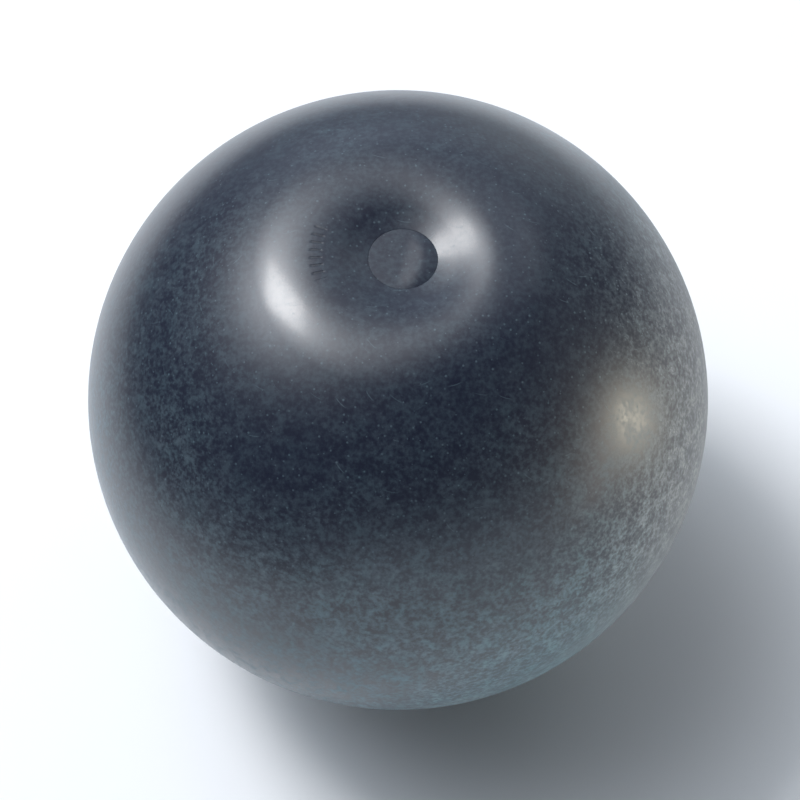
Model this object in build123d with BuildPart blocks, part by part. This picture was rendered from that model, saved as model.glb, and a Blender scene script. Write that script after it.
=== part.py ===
"""Watch case opening friction ball: a hollow, air-filled rubber ball with its inflation port in a navel.

Frame: millimetres, +Z up along the axis of the port. The origin is the point that the ball stands on,
straight under its centre. Every piece is round about Z.
"""

import os
from math import acos, asin, cos, degrees, radians, sin

from build123d import *

# Ball skin
BALL_RADIUS = 32.5
WALL = 3.2
LIP_RADIUS = 9.2  # from the axis to the crest of the soft lip around the navel
LIP_BEND = 11.5  # rounding of the lip, from the ball down into the navel
NAVEL_SLOPE = 19.5  # degrees, the steepest part of the navel's side

# Port in the bottom of the navel: a straight hole around the plug's head
HOLE_RADIUS = 3.4
HOLE_EDGE = 0.35  # rounding of the hole's edge
MOUTH_SLOPE = 13.0  # degrees, where the navel's side meets that rounding
PORT_DEPTH = 3.4
PAD_RADIUS = 7.9  # flat pad under the navel that the collar is bonded to

# Valve collar
FLANGE_RADIUS = 7.5
FLANGE_THICKNESS = 1.5
NECK_RADIUS = 3.9
NECK_LENGTH = 7.0
NECK_FILLET = 1.0
COLLAR_EDGE = 0.4  # rounding of the flange's rim and the neck's end
BORE_RADIUS = 2.3
BORE_LEAD_IN = 0.3

# Port plug
HEAD_CLEARANCE = 0.08  # head to hole, per side
HEAD_EDGE = 0.6
HEAD_RISE = 0.25  # of the head's flat top, over the edge of the hole
SEAT_GAP = 0.05  # under the head
STEM_RADIUS = 2.0
STEM_LENGTH = 9.0
TIP_RADIUS = 1.4
TIP_TAPER = 1.8
TIP_EDGE = 0.3
RIB_RADIUS = 2.26  # sealing ribs, a close running fit in the bore
RIB_HALF_WIDTH = 0.55
RIB_COUNT = 3
RIB_PITCH = 2.0
FIRST_RIB_DROP = 1.6  # from under the head to the crest of the first rib

# The ball's outside rolls over the lip and down into the port in three arcs: lip, navel and the hole's edge
steep = radians(NAVEL_SLOPE)
shallow = radians(MOUTH_SLOPE)
ball_centre = (0, BALL_RADIUS)
lip_angle = degrees(asin(LIP_RADIUS / (BALL_RADIUS - LIP_BEND)))  # off the axis, where lip and ball meet
lip_centre = (LIP_RADIUS, BALL_RADIUS + (BALL_RADIUS - LIP_BEND) * cos(radians(lip_angle)))
lip_z = lip_centre[1] + LIP_BEND  # crest of the lip, the highest point of the ball
mouth_radius = HOLE_RADIUS + HOLE_EDGE * (1 - sin(shallow))
navel_bend = (LIP_RADIUS - LIP_BEND * sin(steep) - mouth_radius) / (sin(steep) - sin(shallow))
navel_centre = (
    mouth_radius - navel_bend * sin(shallow),
    lip_centre[1] + (LIP_BEND + navel_bend) * cos(steep),
)
mouth_z = navel_centre[1] - navel_bend * cos(shallow)
edge_centre = (HOLE_RADIUS + HOLE_EDGE, mouth_z - HOLE_EDGE * cos(shallow))

# Under the navel, where the collar sits against the pad
seat_z = mouth_z - PORT_DEPTH
pad_angle = degrees(acos((PAD_RADIUS - LIP_RADIUS) / (LIP_BEND - WALL)))
pad_root_z = lip_centre[1] + (LIP_BEND - WALL) * sin(radians(pad_angle))
neck_z = seat_z - FLANGE_THICKNESS

# Plug
head_radius = HOLE_RADIUS - HEAD_CLEARANCE
head_z = mouth_z + HEAD_RISE
head_under_z = seat_z + SEAT_GAP
tip_z = head_under_z - STEM_LENGTH


def make_ball_skin():
    """Hollow ball of one even wall, rolled into a navel at the top with the port in the bottom of it."""
    with BuildPart() as ball_skin:
        with BuildSketch(Plane.XZ):
            with BuildLine():
                CenterArc(ball_centre, BALL_RADIUS, -90, 180 - lip_angle)
                CenterArc(lip_centre, LIP_BEND, 90 - lip_angle, lip_angle + NAVEL_SLOPE)
                CenterArc(navel_centre, navel_bend, NAVEL_SLOPE - 90, MOUTH_SLOPE - NAVEL_SLOPE)
                CenterArc(edge_centre, HOLE_EDGE, 90 + MOUTH_SLOPE, 90 - MOUTH_SLOPE)
                Polyline(
                    (HOLE_RADIUS, edge_centre[1]),
                    (HOLE_RADIUS, seat_z),
                    (PAD_RADIUS, seat_z),
                    (PAD_RADIUS, pad_root_z),
                )
                CenterArc(lip_centre, LIP_BEND - WALL, pad_angle, 90 - lip_angle - pad_angle)
                CenterArc(ball_centre, BALL_RADIUS - WALL, 90 - lip_angle, lip_angle - 180)
                Line((0, WALL), (0, 0))
            make_face()
        revolve(axis=Axis.Z)
    return ball_skin


def make_valve_collar():
    """Firm flanged bush, bonded under the navel, that keeps the port round and holds the plug in its bore."""
    with BuildPart() as valve_collar:
        with BuildSketch(Plane.XY.offset(neck_z)):
            Circle(FLANGE_RADIUS)
        extrude(amount=FLANGE_THICKNESS)
        fillet(valve_collar.faces().sort_by(Axis.Z)[0].edges(), COLLAR_EDGE)
        with BuildSketch(Plane.XY.offset(neck_z)):
            Circle(NECK_RADIUS)
        extrude(amount=-NECK_LENGTH)
        rings = valve_collar.edges().filter_by(GeomType.CIRCLE)
        neck_root = rings.filter_by_position(Axis.Z, neck_z - 0.01, neck_z + 0.01).sort_by(SortBy.RADIUS)[0]
        fillet(neck_root, NECK_FILLET)
        fillet(valve_collar.faces().sort_by(Axis.Z)[0].edges(), COLLAR_EDGE)
        with Locations((0, 0, seat_z)):
            Hole(BORE_RADIUS)
        bore_mouth = valve_collar.faces().sort_by(Axis.Z)[-1].edges().sort_by(SortBy.RADIUS)[0]
        chamfer(bore_mouth, BORE_LEAD_IN)
    return valve_collar


def make_port_plug():
    """Stopper: a round head in the port, and a ribbed stem with a tapered tip in the collar's bore."""
    with BuildPart() as port_plug:
        with BuildSketch(Plane.XY.offset(head_under_z)):
            Circle(head_radius)
        extrude(amount=head_z - head_under_z)
        fillet(port_plug.faces().sort_by(Axis.Z)[-1].edges(), HEAD_EDGE)
        with BuildSketch(Plane.XY.offset(head_under_z)):
            Circle(STEM_RADIUS)
        extrude(amount=TIP_TAPER - STEM_LENGTH)
        with BuildSketch(Plane.XY.offset(tip_z + TIP_TAPER)):
            Circle(STEM_RADIUS)
        with BuildSketch(Plane.XY.offset(tip_z)):
            Circle(TIP_RADIUS)
        loft()
        fillet(port_plug.faces().sort_by(Axis.Z)[0].edges(), TIP_EDGE)
        for rib in range(RIB_COUNT):
            rib_z = head_under_z - FIRST_RIB_DROP - rib * RIB_PITCH
            with BuildSketch(Plane.XZ):
                with BuildLine():
                    top = (STEM_RADIUS, rib_z + RIB_HALF_WIDTH)
                    bottom = (STEM_RADIUS, rib_z - RIB_HALF_WIDTH)
                    ThreePointArc(top, (RIB_RADIUS, rib_z), bottom)
                    Polyline(bottom, (0, rib_z - RIB_HALF_WIDTH), (0, rib_z + RIB_HALF_WIDTH), top)
                make_face()
            revolve(axis=Axis.Z)
    return port_plug


pieces = {
    "ball_skin": make_ball_skin(),
    "valve_collar": make_valve_collar(),
    "port_plug": make_port_plug(),
}

os.makedirs("parts", exist_ok=True)
for name, piece in pieces.items():
    piece.part.label = name
    export_step(piece.part, f"parts/{name}.step")
    print(f"{name}: {piece.part.volume:.1f} mm3")
print(f"lip crest {lip_z:.2f}, port's mouth {mouth_z:.2f}, plug face {head_z:.2f}, collar seat {seat_z:.2f}")
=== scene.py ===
"""Looks of the case opening friction ball: dusty tacky rubber skin, port plug and hidden valve collar.

Everything is in metres, in the frame of the CAD model: +Z up along the port's axis, origin under the ball.
"""

import math

import bmesh
import bpy
from mathutils import Matrix, Vector


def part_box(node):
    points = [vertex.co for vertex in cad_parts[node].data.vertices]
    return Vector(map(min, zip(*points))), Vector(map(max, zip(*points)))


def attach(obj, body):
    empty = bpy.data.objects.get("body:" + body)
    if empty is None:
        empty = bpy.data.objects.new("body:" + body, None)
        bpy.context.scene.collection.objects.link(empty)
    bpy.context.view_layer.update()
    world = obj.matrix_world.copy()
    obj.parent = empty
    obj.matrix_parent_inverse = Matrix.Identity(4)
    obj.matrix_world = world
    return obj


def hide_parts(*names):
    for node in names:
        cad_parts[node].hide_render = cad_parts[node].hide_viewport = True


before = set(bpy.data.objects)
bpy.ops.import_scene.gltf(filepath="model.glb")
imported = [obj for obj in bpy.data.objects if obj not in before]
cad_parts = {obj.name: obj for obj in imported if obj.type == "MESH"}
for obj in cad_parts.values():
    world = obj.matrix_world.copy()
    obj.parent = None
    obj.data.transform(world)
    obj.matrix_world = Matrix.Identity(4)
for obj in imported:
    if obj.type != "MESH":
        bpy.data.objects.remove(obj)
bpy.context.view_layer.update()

MM = 0.001

# ---------------------------------------------------------------- sizes, from the frame and the ball
skin_low, skin_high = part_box("ball_skin")
plug_low, plug_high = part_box("port_plug")
collar_low, collar_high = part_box("valve_collar")

BALL_RADIUS = (skin_high.x - skin_low.x) / 2
BALL_CENTRE = Vector((0, 0, BALL_RADIUS))
HEAD_RADIUS = (plug_high.x - plug_low.x) / 2
HEAD_TOP = plug_high.z
PLUG_TIP = plug_low.z
SEAT = collar_high.z  # underside of the skin at the port
FLANGE_RADIUS = (collar_high.x - collar_low.x) / 2
COLLAR_END = collar_low.z

WALL = 3.2 * MM
LIP_RADIUS = 9.2 * MM  # from the axis to the crest of the lip
LIP_BEND = 11.5 * MM
NAVEL_SLOPE = math.radians(19.5)
MOUTH_SLOPE = math.radians(13)
SEAM = 0.008 * MM
HOLE_RADIUS = HEAD_RADIUS + SEAM  # the rubber closes on the plug's head
HOLE_EDGE = 0.03 * MM
PAD_RADIUS = FLANGE_RADIUS + 0.4 * MM
BORE_RADIUS = 2.3 * MM

# The outside rolls over the lip and down into the port in three arcs: lip, navel and the hole's edge
LIP_ANGLE = math.asin(LIP_RADIUS / (BALL_RADIUS - LIP_BEND))
LIP_CENTRE = (LIP_RADIUS, BALL_RADIUS + (BALL_RADIUS - LIP_BEND) * math.cos(LIP_ANGLE))
MOUTH_RADIUS = HOLE_RADIUS + HOLE_EDGE * (1 - math.sin(MOUTH_SLOPE))
slope_change = math.sin(NAVEL_SLOPE) - math.sin(MOUTH_SLOPE)
NAVEL_BEND = (LIP_RADIUS - LIP_BEND * math.sin(NAVEL_SLOPE) - MOUTH_RADIUS) / slope_change
NAVEL_CENTRE = (
    MOUTH_RADIUS - NAVEL_BEND * math.sin(MOUTH_SLOPE),
    LIP_CENTRE[1] + (LIP_BEND + NAVEL_BEND) * math.cos(NAVEL_SLOPE),
)
MOUTH_HEIGHT = NAVEL_CENTRE[1] - NAVEL_BEND * math.cos(MOUTH_SLOPE)
EDGE_CENTRE = (HOLE_RADIUS + HOLE_EDGE, MOUTH_HEIGHT - HOLE_EDGE * math.cos(MOUTH_SLOPE))


# ---------------------------------------------------------------- mesh code
def arc(centre, radius, start, end, steps):
    """Points (radius from the axis, height) along an arc, from one angle to another, both in radians."""
    turns = [start + (end - start) * i / steps for i in range(steps + 1)]
    return [(centre[0] + radius * math.cos(a), centre[1] + radius * math.sin(a)) for a in turns]


def run(start, end, steps):
    """Points along a straight line, without its two ends."""
    return [
        (start[0] + (end[0] - start[0]) * i / steps, start[1] + (end[1] - start[1]) * i / steps)
        for i in range(1, steps)
    ]


def lathe(name, outline, columns, form, closed=False, shown=None):
    """Turns an outline about Z. form(radius, height, angle) gives each point its final place.

    An open outline starts and ends on the axis. The mesh gets a map for baking: round the axis by along the
    outline, where rows after the first shown ones, which are hidden, take up little room.
    """
    hidden_share = 0.2
    sharp_angle = math.radians(40)
    on_axis = 1e-7
    bm = bmesh.new()
    bake = bm.loops.layers.uv.new("OFBake")
    angles = [2 * math.pi * i / columns for i in range(columns)]
    rings = []
    for radius, height in outline:
        if radius < on_axis:
            rings.append([bm.verts.new(form(0.0, height, 0.0))])
        else:
            rings.append([bm.verts.new(form(radius, height, a)) for a in angles])
    reach = [0.0]
    for row, (here, there) in enumerate(zip(outline, outline[1:] + outline[:1])):
        share = 1.0 if shown is None or row < shown else hidden_share
        reach.append(reach[-1] + share * math.hypot(there[0] - here[0], there[1] - here[1]))
    total = reach[-1] if closed else reach[-2]
    pairs = len(rings) if closed else len(rings) - 1
    for row in range(pairs):
        low, high = rings[row], rings[(row + 1) % len(rings)]
        v_low, v_high = reach[row] / total, reach[row + 1] / total
        for i in range(columns):
            j = (i + 1) % columns
            corners = [(low, i, i, v_low), (low, j, i + 1, v_low)]
            corners += [(high, j, i + 1, v_high), (high, i, i, v_high)]
            if len(low) == 1:
                corners = [(low, 0, i + 0.5, v_low)] + corners[2:]
            elif len(high) == 1:
                corners = corners[:2] + [(high, 0, i + 0.5, v_high)]
            face = bm.faces.new([ring[at] for ring, at, _, _ in corners])
            face.smooth = True
            for loop, (_, _, u, v) in zip(face.loops, corners):
                loop[bake].uv = (u / columns, v)
    bmesh.ops.recalc_face_normals(bm, faces=bm.faces)
    mesh = bpy.data.meshes.new(name)
    bm.to_mesh(mesh)
    bm.free()
    mesh.set_sharp_from_angle(angle=sharp_angle)
    piece = bpy.data.objects.new(name, mesh)
    bpy.context.scene.collection.objects.link(piece)
    return piece


def turned(radius, height, angle):
    """A true turned form."""
    return Vector((radius * math.cos(angle), radius * math.sin(angle), height))


# ---------------------------------------------------------------- the three pieces
def swell(x):
    """A smooth hump, 0 at 0 and 1, highest half way."""
    return math.sin(math.pi * min(max(x, 0.0), 1.0)) ** 2


def ease(x):
    """A smooth step, 0 up to 0 and 1 from 1 on."""
    x = min(max(x, 0.0), 1.0)
    return x * x * (3 - 2 * x)


def plateau(radius, start, rise, end, fall):
    """Rises smoothly from 0 at start to 1 within rise, and sinks from 1 at end to 0 within fall."""
    return ease((radius - start) / rise) * (1 - ease((radius - end) / fall))


def skin_form(radius, height, angle):
    """Rubber is never quite round: the lip leans and waves, is flatter at -X and higher at +X.

    At +X the navel's side also twists up towards +Y, and the port draws its edge in.
    """
    place = turned(radius, height, angle)
    if height <= BALL_RADIUS:
        return place
    towards_right = 0.5 + 0.5 * math.cos(angle)  # 1 at +X, 0 at -X

    wavy_width = 14 * MM
    lean = 0.10 * math.cos(angle) - 0.10 * math.sin(angle)
    wave = 0.05 * math.cos(2 * angle + 0.7) + 0.03 * math.cos(3 * angle + 2.1) + 0.015 * math.cos(5 * angle)
    place.z += (lean + wave) * MM * swell((radius - MOUTH_RADIUS) / wavy_width)

    flat_depth, flat_radius, flat_width, flat_angle = 0.20 * MM, 12 * MM, 3 * MM, 0.25
    flat = flat_depth * (0.5 - 0.5 * math.cos(angle - flat_angle)) ** 2
    place.z -= flat * math.exp(-0.5 * ((radius - flat_radius) / flat_width) ** 2)

    raised_height = 0.16 * MM
    raised = plateau(radius, start=5.5 * MM, rise=3.5 * MM, end=11 * MM, fall=9 * MM)
    place.z += raised_height * raised * towards_right ** 4

    twist_height = 0.20 * MM
    twisted = plateau(radius, start=MOUTH_RADIUS, rise=2.4 * MM, end=7 * MM, fall=8 * MM)
    place.z += twist_height * twisted * math.sin(angle) * towards_right ** 3

    drawn_depth, drawn_width = 0.07 * MM, 1.6 * MM
    drawn = max(1 - (radius - HOLE_RADIUS) / drawn_width, 0.0) if radius < PAD_RADIUS else 0.0
    place.z -= drawn_depth * drawn ** 2 * towards_right ** 4
    return place


def make_ball_skin():
    """The hollow ball: up its outside, over the lip, down into the port, and back along the inside."""
    lip_end = math.pi / 2 - LIP_ANGLE
    steep = math.pi / 2 + NAVEL_SLOPE
    down, mouth_end = NAVEL_SLOPE - math.pi / 2, MOUTH_SLOPE - math.pi / 2
    pad_turn = math.acos((PAD_RADIUS - LIP_RADIUS) / (LIP_BEND - WALL))
    ball = (0.0, BALL_RADIUS)
    outline = arc(ball, BALL_RADIUS, -math.pi / 2, lip_end, steps=110)
    outline[0] = (0.0, 0.0)
    outline += arc(LIP_CENTRE, LIP_BEND, lip_end, steep, steps=56)[1:]
    outline += arc(NAVEL_CENTRE, NAVEL_BEND, down, mouth_end, steps=10)[1:]
    outline += arc(EDGE_CENTRE, HOLE_EDGE, math.pi / 2 + MOUTH_SLOPE, math.pi, steps=8)[1:]
    outline += run(outline[-1], (HOLE_RADIUS, SEAT), steps=8)
    shown = len(outline)
    outline += [(HOLE_RADIUS, SEAT), (PAD_RADIUS, SEAT)]
    outline += arc(LIP_CENTRE, LIP_BEND - WALL, pad_turn, lip_end, steps=12)
    outline += arc(ball, BALL_RADIUS - WALL, lip_end, -math.pi / 2, steps=60)[1:]
    outline[-1] = (0.0, WALL)
    piece = lathe("skin", outline, columns=224, form=skin_form, shown=shown)
    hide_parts("ball_skin")
    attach(piece, "ball")
    return piece


def plug_form(radius, height, angle):
    """The head is pushed in askew: level with the port's edge at one side, and proud at the other."""
    place = turned(radius, height, angle)
    if height > MOUTH_HEIGHT:
        proud, proud_start, proud_width = 0.15 * MM, -0.05, 0.66
        roll_width, least_sunk, more_sunk = 1.5 * MM, 0.005 * MM, 0.07 * MM
        side = math.cos(angle + math.radians(12))  # 1 at the proud side
        across = side * radius / HEAD_RADIUS
        face = proud * ease((across - proud_start) / proud_width)
        at_edge = proud * ease((side - proud_start) / proud_width)
        sunk = least_sunk + more_sunk * (0.5 + 0.5 * side) ** 2
        rolled = max((radius - HEAD_RADIUS) / roll_width + 1, 0.0)
        place.z = MOUTH_HEIGHT + face - (at_edge + sunk) * rolled ** 2
    return place


def make_port_plug():
    """Round head over a ribbed stem with a tapered tip."""
    stem, tip, tip_taper, tip_edge = 2.0 * MM, 1.4 * MM, 1.8 * MM, 0.3 * MM
    rib, rib_half, first_rib, rib_pitch, rib_count = 0.26 * MM, 0.55 * MM, 1.6 * MM, 2.0 * MM, 3
    seat_gap, head_corner = 0.05 * MM, 0.15 * MM
    under = SEAT + seat_gap  # of the head
    face_rings, half_rib_steps = 30, 6
    outline = [(HEAD_RADIUS * k / face_rings, HEAD_TOP) for k in range(face_rings)]
    outline += [(HEAD_RADIUS - SEAM, HEAD_TOP), (HEAD_RADIUS, MOUTH_HEIGHT - head_corner)]
    outline += [(HEAD_RADIUS, under + head_corner), (HEAD_RADIUS - head_corner, under), (stem, under)]
    for number in range(rib_count):
        crest = under - first_rib - number * rib_pitch
        steps = [k / half_rib_steps - 1 for k in range(2 * half_rib_steps + 1)]
        outline += [(stem + rib * swell(0.5 + t / 2), crest - rib_half * t) for t in steps]
    outline += [(stem, PLUG_TIP + tip_taper), (tip, PLUG_TIP + tip_edge)]
    outline += [(tip - tip_edge, PLUG_TIP), (0.0, PLUG_TIP)]
    piece = lathe("plug", outline, columns=96, form=plug_form)
    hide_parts("port_plug")
    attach(piece, "plug")
    return piece


def make_valve_collar():
    """Flange against the pad, neck down into the ball, and the bore that the plug's stem sits in."""
    edge, neck_fillet = 0.4 * MM, 1.0 * MM
    flange, neck, lead_in = 1.5 * MM, 3.9 * MM, 0.3 * MM
    shoulder = SEAT - flange
    outline = [(BORE_RADIUS, COLLAR_END), (BORE_RADIUS, SEAT - lead_in), (BORE_RADIUS + lead_in, SEAT)]
    outline += [(FLANGE_RADIUS, SEAT)]
    outline += arc((FLANGE_RADIUS - edge, shoulder + edge), edge, 0.0, -math.pi / 2, steps=5)
    neck_root = (neck + neck_fillet, shoulder - neck_fillet)
    outline += arc(neck_root, neck_fillet, math.pi / 2, math.pi, steps=8)
    outline += arc((neck - edge, COLLAR_END + edge), edge, 0.0, -math.pi / 2, steps=5)
    piece = lathe("collar", outline, columns=96, form=turned, closed=True)
    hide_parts("valve_collar")
    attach(piece, "ball")
    return piece


# ---------------------------------------------------------------- material nodes
def add(tree, kind, inputs=None, **settings):
    """A node of that kind. inputs maps a socket's name or number to a value or to another node's socket."""
    node = tree.nodes.new("ShaderNode" + kind)
    for name, value in settings.items():
        setattr(node, name, value)
    for name, value in (inputs or {}).items():
        if isinstance(value, bpy.types.NodeSocket):
            tree.links.new(value, node.inputs[name])
        else:
            node.inputs[name].default_value = value
    return node


def calc(tree, operation, *values):
    """The result of a Math node."""
    return add(tree, "Math", dict(enumerate(values)), operation=operation).outputs[0]


def chain(tree, operation, first, *others):
    """The result of a row of Math nodes, one for each further value."""
    for other in others:
        first = calc(tree, operation, first, other)
    return first


def times(tree, *values):
    """All the values multiplied."""
    return chain(tree, "MULTIPLY", *values)


def plus(tree, *values):
    """All the values added."""
    return chain(tree, "ADD", *values)


def minus(tree, first, second):
    """first less second."""
    return calc(tree, "SUBTRACT", first, second)


def size_of(tree, value):
    """The value without its sign."""
    return calc(tree, "ABSOLUTE", value)


def vector(tree, operation, *values):
    """The result of a Vector Math node: a number for a dot product or a length, and else a vector."""
    node = add(tree, "VectorMath", dict(enumerate(values)), operation=operation)
    return node.outputs["Value" if operation in ("DOT_PRODUCT", "LENGTH") else "Vector"]


def scaled(tree, arrow, factor):
    """A vector times a number."""
    return add(tree, "VectorMath", {0: arrow, "Scale": factor}, operation="SCALE").outputs["Vector"]


def ramp(tree, value, low, high, to_low=0.0, to_high=1.0):
    """value, spread smoothly from low..high to to_low..to_high and held at the ends."""
    sockets = {"Value": value, "From Min": low, "From Max": high, "To Min": to_low, "To Max": to_high}
    return add(tree, "MapRange", sockets, interpolation_type="SMOOTHSTEP").outputs["Result"]


def noise(tree, place, size, detail=2.0, roughness=0.5):
    """Soft noise from 0 to 1, with lumps about size metres across."""
    sockets = {"Vector": place, "Scale": 1 / size, "Detail": detail, "Roughness": roughness}
    return add(tree, "TexNoise", sockets).outputs["Fac"]


def blend(tree, share, first, second):
    """first where share is 0, second where it is 1, as colours."""
    node = add(tree, "Mix", data_type="RGBA")
    for socket, value in zip([s for s in node.inputs if s.enabled], (share, first, second)):
        if isinstance(value, bpy.types.NodeSocket):
            tree.links.new(value, socket)
        else:
            socket.default_value = (*value, 1.0)
    return [s for s in node.outputs if s.enabled][0]


def new_material(name, **sockets):
    """A material with one Principled shader, and its tree and shader."""
    material = bpy.data.materials.new(name)
    material.use_nodes = True
    tree = material.node_tree
    shader = tree.nodes["Principled BSDF"]
    for socket, value in sockets.items():
        shader.inputs[socket.replace("_", " ")].default_value = value
    return material, tree, shader


# ---------------------------------------------------------------- dust
def foam(tree, place, cell, shift):
    """Random cells about that wide: the vector from the nearest cell's middle, and three random numbers."""
    moved = vector(tree, "ADD", place, (shift, 2 * shift, 3 * shift))
    cells = add(tree, "TexVoronoi", {"Vector": moved, "Scale": 1 / cell})
    offset = vector(tree, "SUBTRACT", moved, cells.outputs["Position"])
    return offset, cells.outputs["Color"]


def drawn_lots(tree, chance, share):
    """0 in cells that draw low, and up to 1 in about the given share of them."""
    before, after = 0.05, 0.3
    return ramp(tree, chance, 1 - share - before, 1 - share + after)


def motes(tree, place, cell, radius, share, shift):
    """Small round specks of dust, at most one in each cell."""
    offset, luck = foam(tree, place, cell, shift)
    chances = add(tree, "SeparateColor", {"Color": luck}).outputs
    size = ramp(tree, chances["Green"], 0.0, 1.0, 0.5 * radius, radius)
    soft_edge = 1.6  # of the speck's radius
    body = minus(tree, soft_edge, calc(tree, "DIVIDE", vector(tree, "LENGTH", offset), size))
    return times(tree, ramp(tree, body, 0.0, 1.0), drawn_lots(tree, chances["Red"], share))


def lint(tree, place, cell, length, width, share, shift):
    """Short bent fibres lying flat on the ball, mostly running down to +X, at most one in each cell."""
    mean_luck, bend_share = (0.35, 0.60, 0.68), 0.25
    offset, luck = foam(tree, place, cell, shift)
    outward = vector(tree, "NORMALIZE", vector(tree, "SUBTRACT", place, BALL_CENTRE))

    def flat(arrow):
        lift = scaled(tree, outward, vector(tree, "DOT_PRODUCT", arrow, outward))
        return vector(tree, "SUBTRACT", arrow, lift)

    heading = vector(tree, "NORMALIZE", flat(vector(tree, "SUBTRACT", luck, mean_luck)))
    flat_offset = flat(offset)
    along = vector(tree, "DOT_PRODUCT", flat_offset, heading)
    sideways = vector(tree, "DOT_PRODUCT", flat_offset, vector(tree, "CROSS_PRODUCT", outward, heading))
    bend = times(tree, along, along, bend_share / length)
    body = ramp(tree, size_of(tree, minus(tree, sideways, bend)), 0.0, width, 1.0, 0.0)
    ends = ramp(tree, size_of(tree, along), length * 0.2, length * 0.5, 1.0, 0.0)
    chance = add(tree, "SeparateColor", {"Color": luck}).outputs["Red"]
    return times(tree, body, ends, drawn_lots(tree, chance, share))


def ticks(tree, axes, from_axis):
    """A short row of plain moulded ticks on the lip's inner side, towards -X: 1 on a tick and 0 elsewhere."""
    per_radian, row_radius, half_row, row_end, row_middle = 62.0, 8.3 * MM, 0.33, 0.05, -0.04
    half_tick, tick_end = 0.4 * MM, 0.75 * MM
    turn = calc(tree, "ARCTAN2", axes["Y"], times(tree, axes["X"], -1.0))
    stripe = ramp(tree, calc(tree, "COSINE", times(tree, turn, per_radian)), 0.35, 0.9)
    off_row = size_of(tree, minus(tree, from_axis, row_radius))
    length = ramp(tree, off_row, half_tick, tick_end, 1.0, 0.0)
    row = ramp(tree, size_of(tree, minus(tree, turn, row_middle)), half_row, half_row + row_end, 1.0, 0.0)
    above = calc(tree, "GREATER_THAN", axes["Z"], BALL_RADIUS)
    return times(tree, stripe, length, row, above)


def dust_cover(tree, place, axes, drift, flank):
    """How thick the dust lies, all of it and its sharp bits alone: thickest low down and to +X, where the
    veil is partly real dust and partly painted sheen and floor reflection.
    """
    low_weight, flank_weight, patch_weight = 1.05, 0.39, 0.5
    # Low down and on the +X flank the veil is real dust and also painted sheen and painted reflection of the
    # lit floor and lamp.
    low_down = ramp(tree, axes["Z"], 61 * MM, 33 * MM)
    # The veil thins towards -X, which keeps that side darker.
    thinner_towards_minus_x = ramp(tree, axes["X"], 2 * MM, -24 * MM, 1.0, 0.42)
    patches = times(tree, minus(tree, drift, 0.45), patch_weight)
    low_dust_and_painted_sheen = times(tree, low_down, low_weight, thinner_towards_minus_x)
    veil = ramp(tree, plus(tree, low_dust_and_painted_sheen, times(tree, flank, flank_weight), patches), -0.1, 1.3)

    clump_weight, least_dust, most_dust = 0.55, 0.05, 0.78
    clumps = noise(tree, place, size=1.5 * MM, detail=2)
    grain = noise(tree, place, size=0.46 * MM, detail=3, roughness=0.6)
    lumpy = plus(tree, grain, times(tree, minus(tree, clumps, 0.5), clump_weight))
    soft = times(tree, plus(tree, least_dust, times(tree, veil, most_dust)), ramp(tree, lumpy, 0.29, 0.81))

    # Low on the right the dust lies thick and even, and this pale even layer is also a painted reflection of
    # a lit floor.
    evenness, even_dust_and_floor_glow, lint_buried = 0.76, 0.39, 0.7
    corner = times(tree, ramp(tree, axes["X"], -2 * MM, 26 * MM), ramp(tree, axes["Z"], 50 * MM, 24 * MM))
    soft = times(tree, soft, minus(tree, 1.0, times(tree, corner, evenness)))
    soft = plus(tree, soft, times(tree, corner, even_dust_and_floor_glow))

    speck_strength, hair_strength, everywhere, on_flank = 0.6, 0.6, 0.22, 0.30
    specks = motes(tree, place, cell=0.55 * MM, radius=0.10 * MM, share=0.6, shift=0.0)
    fine = lint(tree, place, cell=0.45 * MM, length=0.45 * MM, width=0.07 * MM, share=0.7, shift=0.005)
    fine_share = times(tree, flank, minus(tree, 1.0, times(tree, corner, lint_buried)))
    fine = times(tree, fine, fine_share, ramp(tree, clumps, 0.35, 0.65))
    hairs = lint(tree, place, cell=2.6 * MM, length=1.6 * MM, width=0.07 * MM, share=0.25, shift=0.013)
    hairs, specks = times(tree, hairs, hair_strength), times(tree, specks, speck_strength)
    sharp = chain(tree, "MAXIMUM", fine, hairs, specks)
    sharp = times(tree, sharp, plus(tree, everywhere, times(tree, flank, on_flank)))
    return plus(tree, soft, sharp), sharp, grain


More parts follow.
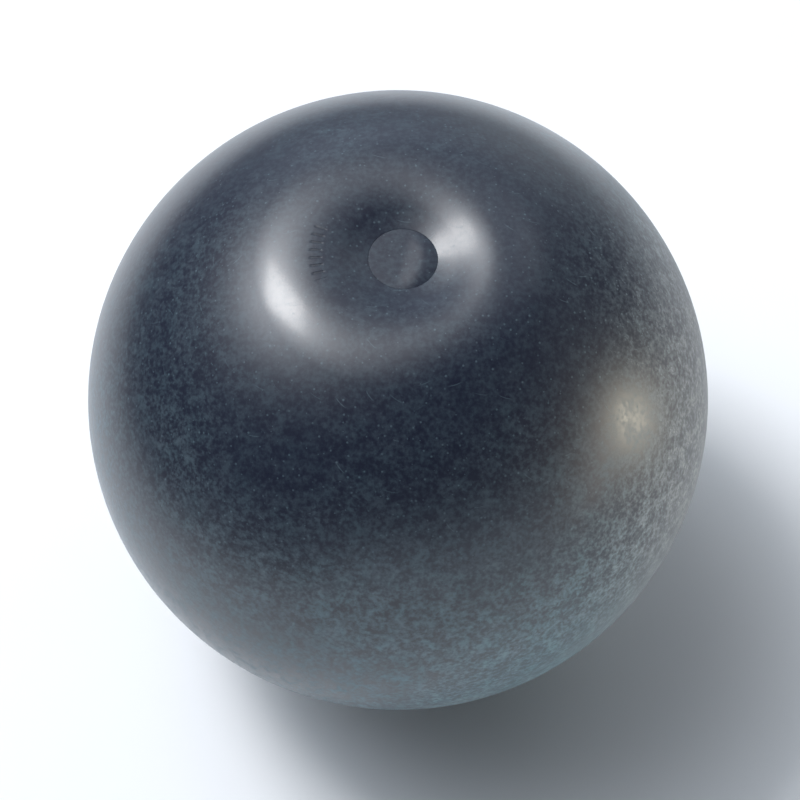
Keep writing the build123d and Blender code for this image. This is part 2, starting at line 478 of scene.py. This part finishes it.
# ---------------------------------------------------------------- materials
def dusty_rubber(name, gloss):
    """Dark navy tacky rubber under a veil of pale dust and lint, partly painted sheen and reflection low down
    and to +X, with a thin gloss where it is clean.
    """
    navy, navy_too = (0.0070, 0.0105, 0.0260), (0.0095, 0.0122, 0.0250)
    teal_dust, grey_dust, right_dust_and_lamp_glow = (0.225, 0.43, 0.48), (0.345, 0.44, 0.50), (0.46, 0.46, 0.47)
    tick_shadow = (0.004, 0.005, 0.010)
    material, tree, shader = new_material(
        name,
        Coat_Roughness=0.17,
        Sheen_Weight=0.08,
        Sheen_Roughness=0.45,
        Sheen_Tint=(0.72, 0.86, 0.95, 1),
    )
    place = add(tree, "TexCoord").outputs["Object"]
    axes = add(tree, "SeparateXYZ", {"Vector": place}).outputs
    squares = [times(tree, axes[k], axes[k]) for k in "XY"]
    from_axis = calc(tree, "SQRT", plus(tree, *squares))
    flank = ramp(tree, axes["X"], 14 * MM, 31 * MM)
    drift = noise(tree, place, size=14 * MM, detail=3)
    cover, sharp, grain = dust_cover(tree, place, axes, drift, flank)
    marks = ticks(tree, axes, from_axis)

    right_share, shadow_share = 0.8, 0.5
    dust = blend(tree, noise(tree, place, size=2.2 * MM), teal_dust, grey_dust)
    # On the +X flank the dust turns neutral and warm: real dust, with painted warm lamp light in it.
    dust = blend(tree, times(tree, flank, right_share), dust, right_dust_and_lamp_glow)
    colour = blend(tree, cover, blend(tree, drift, navy, navy_too), dust)
    colour = blend(tree, times(tree, marks, shadow_share), colour, tick_shadow)
    tree.links.new(colour, shader.inputs["Base Color"])

    clean_roughness, dust_roughness = 0.37, 0.4
    roughness = plus(tree, clean_roughness, times(tree, cover, dust_roughness))
    tree.links.new(roughness, shader.inputs["Roughness"])

    # The gloss is lost under dust, on the right flank and a little in the navel
    in_navel = times(tree, ramp(tree, from_axis, 9 * MM, 6.5 * MM), ramp(tree, axes["Z"], 50 * MM, 58 * MM))
    dulled = plus(tree, times(tree, cover, 0.8), times(tree, flank, 0.8), times(tree, in_navel, 0.20))
    tree.links.new(calc(tree, "MAXIMUM", minus(tree, gloss, dulled), 0.0), shader.inputs["Coat Weight"])

    relief = plus(tree, times(tree, grain, 0.4), times(tree, sharp, 0.5))
    bump = add(tree, "Bump", {"Strength": 0.25, "Distance": 0.03 * MM, "Height": relief})
    pressed = {"Strength": 1.0, "Distance": -0.035 * MM, "Height": marks, "Normal": bump.outputs["Normal"]}
    tree.links.new(add(tree, "Bump", pressed).outputs["Normal"], shader.inputs["Normal"])
    return material


def collar_material():
    """Smooth moulded black rubber with faint cloudy bloom and a scatter of dust."""
    dark, light, dust = (0.012, 0.012, 0.014), (0.02, 0.02, 0.024), (0.20, 0.25, 0.28)
    dust_share = 0.3
    material, tree, shader = new_material("collar_rubber", Sheen_Weight=0.1, Sheen_Roughness=0.5)
    place = add(tree, "TexCoord").outputs["Object"]
    bloom = noise(tree, place, size=2.4 * MM, detail=3)
    specks = ramp(tree, noise(tree, place, size=0.45 * MM, detail=2, roughness=0.6), 0.60, 0.78)
    colour = blend(tree, times(tree, specks, dust_share), blend(tree, bloom, dark, light), dust)
    tree.links.new(colour, shader.inputs["Base Color"])
    tree.links.new(ramp(tree, bloom, 0.3, 0.7, 0.44, 0.56), shader.inputs["Roughness"])
    bump = add(tree, "Bump", {"Strength": 0.15, "Distance": 0.03 * MM, "Height": bloom})
    tree.links.new(bump.outputs["Normal"], shader.inputs["Normal"])
    return material


def floor_material():
    """Pale matt board that fades out beyond its rectangle."""
    middle, half_size, fade = (0.099, -0.060, 0), (0.161, 0.160, 1), 0.11
    white, white_too = (0.825, 0.838, 0.862), (0.845, 0.853, 0.872)
    material, tree, shader = new_material("pale_board", Roughness=0.85)
    place = add(tree, "TexCoord").outputs["Object"]
    mottle = noise(tree, place, size=20 * MM, detail=4)
    tree.links.new(blend(tree, mottle, white, white_too), shader.inputs["Base Color"])
    off_middle = vector(tree, "ABSOLUTE", vector(tree, "SUBTRACT", place, middle))
    beyond = vector(tree, "MAXIMUM", vector(tree, "SUBTRACT", off_middle, half_size), (0, 0, 0))
    faded = ramp(tree, vector(tree, "LENGTH", beyond), 0.0, fade)
    clear = add(tree, "BsdfTransparent")
    mix = add(tree, "MixShader", {0: faded, 1: shader.outputs[0], 2: clear.outputs[0]})
    tree.links.new(mix.outputs[0], tree.nodes["Material Output"].inputs["Surface"])
    return material


# ---------------------------------------------------------------- floor, lights and camera
def direction(azimuth, elevation):
    """Unit vector. Azimuth 0 is towards -Y, where the camera is, and 90 towards +X; both in degrees."""
    a, e = math.radians(azimuth), math.radians(elevation)
    return Vector((math.sin(a) * math.cos(e), -math.cos(a) * math.cos(e), math.sin(e)))


def make_floor():
    """A round board under the ball, wide enough to fill the view and to show in the ball's lower half."""
    bm = bmesh.new()
    bmesh.ops.create_circle(bm, cap_ends=True, segments=96, radius=0.62)
    mesh = bpy.data.meshes.new("floor")
    bm.to_mesh(mesh)
    bm.free()
    mesh.materials.append(floor_material())
    floor = bpy.data.objects.new("floor", mesh)
    bpy.context.scene.collection.objects.link(floor)


def softbox(name, azimuth, elevation, wide, high, brightness, colour, distance=0.9):
    """A soft rectangular light that looks wide by high degrees across from the ball, with that radiance."""
    light = bpy.data.lights.new(name, "AREA")
    light.shape = "RECTANGLE"
    light.size = 2 * distance * math.tan(math.radians(wide / 2))
    light.size_y = 2 * distance * math.tan(math.radians(high / 2))
    light.energy = brightness * math.pi * light.size * light.size_y
    light.color = colour
    lamp = bpy.data.objects.new(name, light)
    towards = direction(azimuth, elevation)
    lamp.location = BALL_CENTRE + towards * distance
    lamp.rotation_euler = towards.to_track_quat("Z", "Y").to_euler()
    lamp.visible_camera = False
    bpy.context.scene.collection.objects.link(lamp)


def make_lights():
    """A window up to the left, and a small warm lamp low on the right."""
    softbox("window", -121, 56, 16, 18, 20.0, (1.02, 1.0, 0.99))
    softbox("lamp", 88, -2, 4.5, 12, 60.0, (1.06, 1.0, 0.80), distance=0.42)


def make_world():
    """The room round the ball: soft glows on a dark ground, and a pale backdrop that only the camera sees."""
    sky, far, table = (0.94, 0.99, 1.04), (0.86, 0.99, 1.16), (0.88, 0.99, 1.12)
    haze, lit_table = (0.88, 0.98, 1.10), (1.06, 1.0, 0.92)
    glows = [  # azimuth, elevation, strength, colour
        (-112, 51, 2.9, haze),
        (-112, 58, 1.6, sky),
        (-124, 56, 2.0, sky),
        (-144, 50, 1.3, sky),
        (-132, 43, 1.0, sky),
        (163, 48, 0.40, far),
        (143, 43, 0.85, sky),
        (161, 19, 0.20, far),
        (158, -6, 0.45, sky),
        (-167, 16, 0.50, far),
        (-155, 10, 0.25, far),
        (-175, 7, 0.30, far),
        (80, -12, 4.40, lit_table),
        (40, -3, 0.75, table),
        (20, -6, 0.60, table),
        (0, -10, 0.80, table),
        (-12, -4, 0.36, table),
        (-52, -11, 0.26, table),
    ]
    sharpness = 20.0
    room = (0.010, 0.012, 0.018)
    backdrop = (0.93, 0.935, 0.94, 1)
    world = bpy.data.worlds.new("surroundings")
    bpy.context.scene.world = world
    world.use_nodes = True
    tree = world.node_tree
    tree.nodes.clear()
    towards = add(tree, "TexCoord").outputs["Generated"]
    for azimuth, elevation, strength, colour in glows:
        facing = vector(tree, "DOT_PRODUCT", towards, direction(azimuth, elevation))
        fall = calc(tree, "EXPONENT", times(tree, minus(tree, facing, 1.0), sharpness))
        light = tuple(strength * c for c in colour)
        room = vector(tree, "ADD", room, scaled(tree, light, fall))
    seen = add(tree, "LightPath").outputs["Is Camera Ray"]
    lit = add(tree, "Background", {"Color": room, "Strength": 1.0})
    pale = add(tree, "Background", {"Color": backdrop, "Strength": 1.0})
    mix = add(tree, "MixShader", {0: seen, 1: lit.outputs[0], 2: pale.outputs[0]})
    output = add(tree, "OutputWorld")
    tree.links.new(mix.outputs[0], output.inputs["Surface"])


def make_camera():
    """Looks down at the port from the front, with a slight roll."""
    elevation, roll = 62.5, math.radians(2.0)
    distance = 8 * BALL_RADIUS
    ball_share = 620 / 800  # of the picture's width
    data = bpy.data.cameras.new("camera")
    half_ball = math.tan(math.asin(BALL_RADIUS / distance))
    data.sensor_width = 36.0
    data.lens = data.sensor_width / 2 * ball_share / half_ball
    data.shift_x = 0.0025
    data.clip_start, data.clip_end = 0.01, 20.0
    camera = bpy.data.objects.new("camera", data)
    back = direction(0, elevation)
    camera.rotation_mode = "QUATERNION"
    turn = (-back).to_track_quat("-Z", "Y").to_matrix() @ Matrix.Rotation(roll, 3, "Z")
    camera.rotation_quaternion = turn.to_quaternion()
    camera.location = BALL_CENTRE + back * distance
    bpy.context.scene.collection.objects.link(camera)
    bpy.context.scene.camera = camera


skin = make_ball_skin()
plug = make_port_plug()
collar = make_valve_collar()
skin.data.materials.append(dusty_rubber("skin_rubber", gloss=0.42))
plug.data.materials.append(dusty_rubber("plug_rubber", gloss=0.22))
collar.data.materials.append(collar_material())

make_floor()
make_lights()
make_world()
make_camera()
bpy.context.scene.view_settings.view_transform = "Standard"
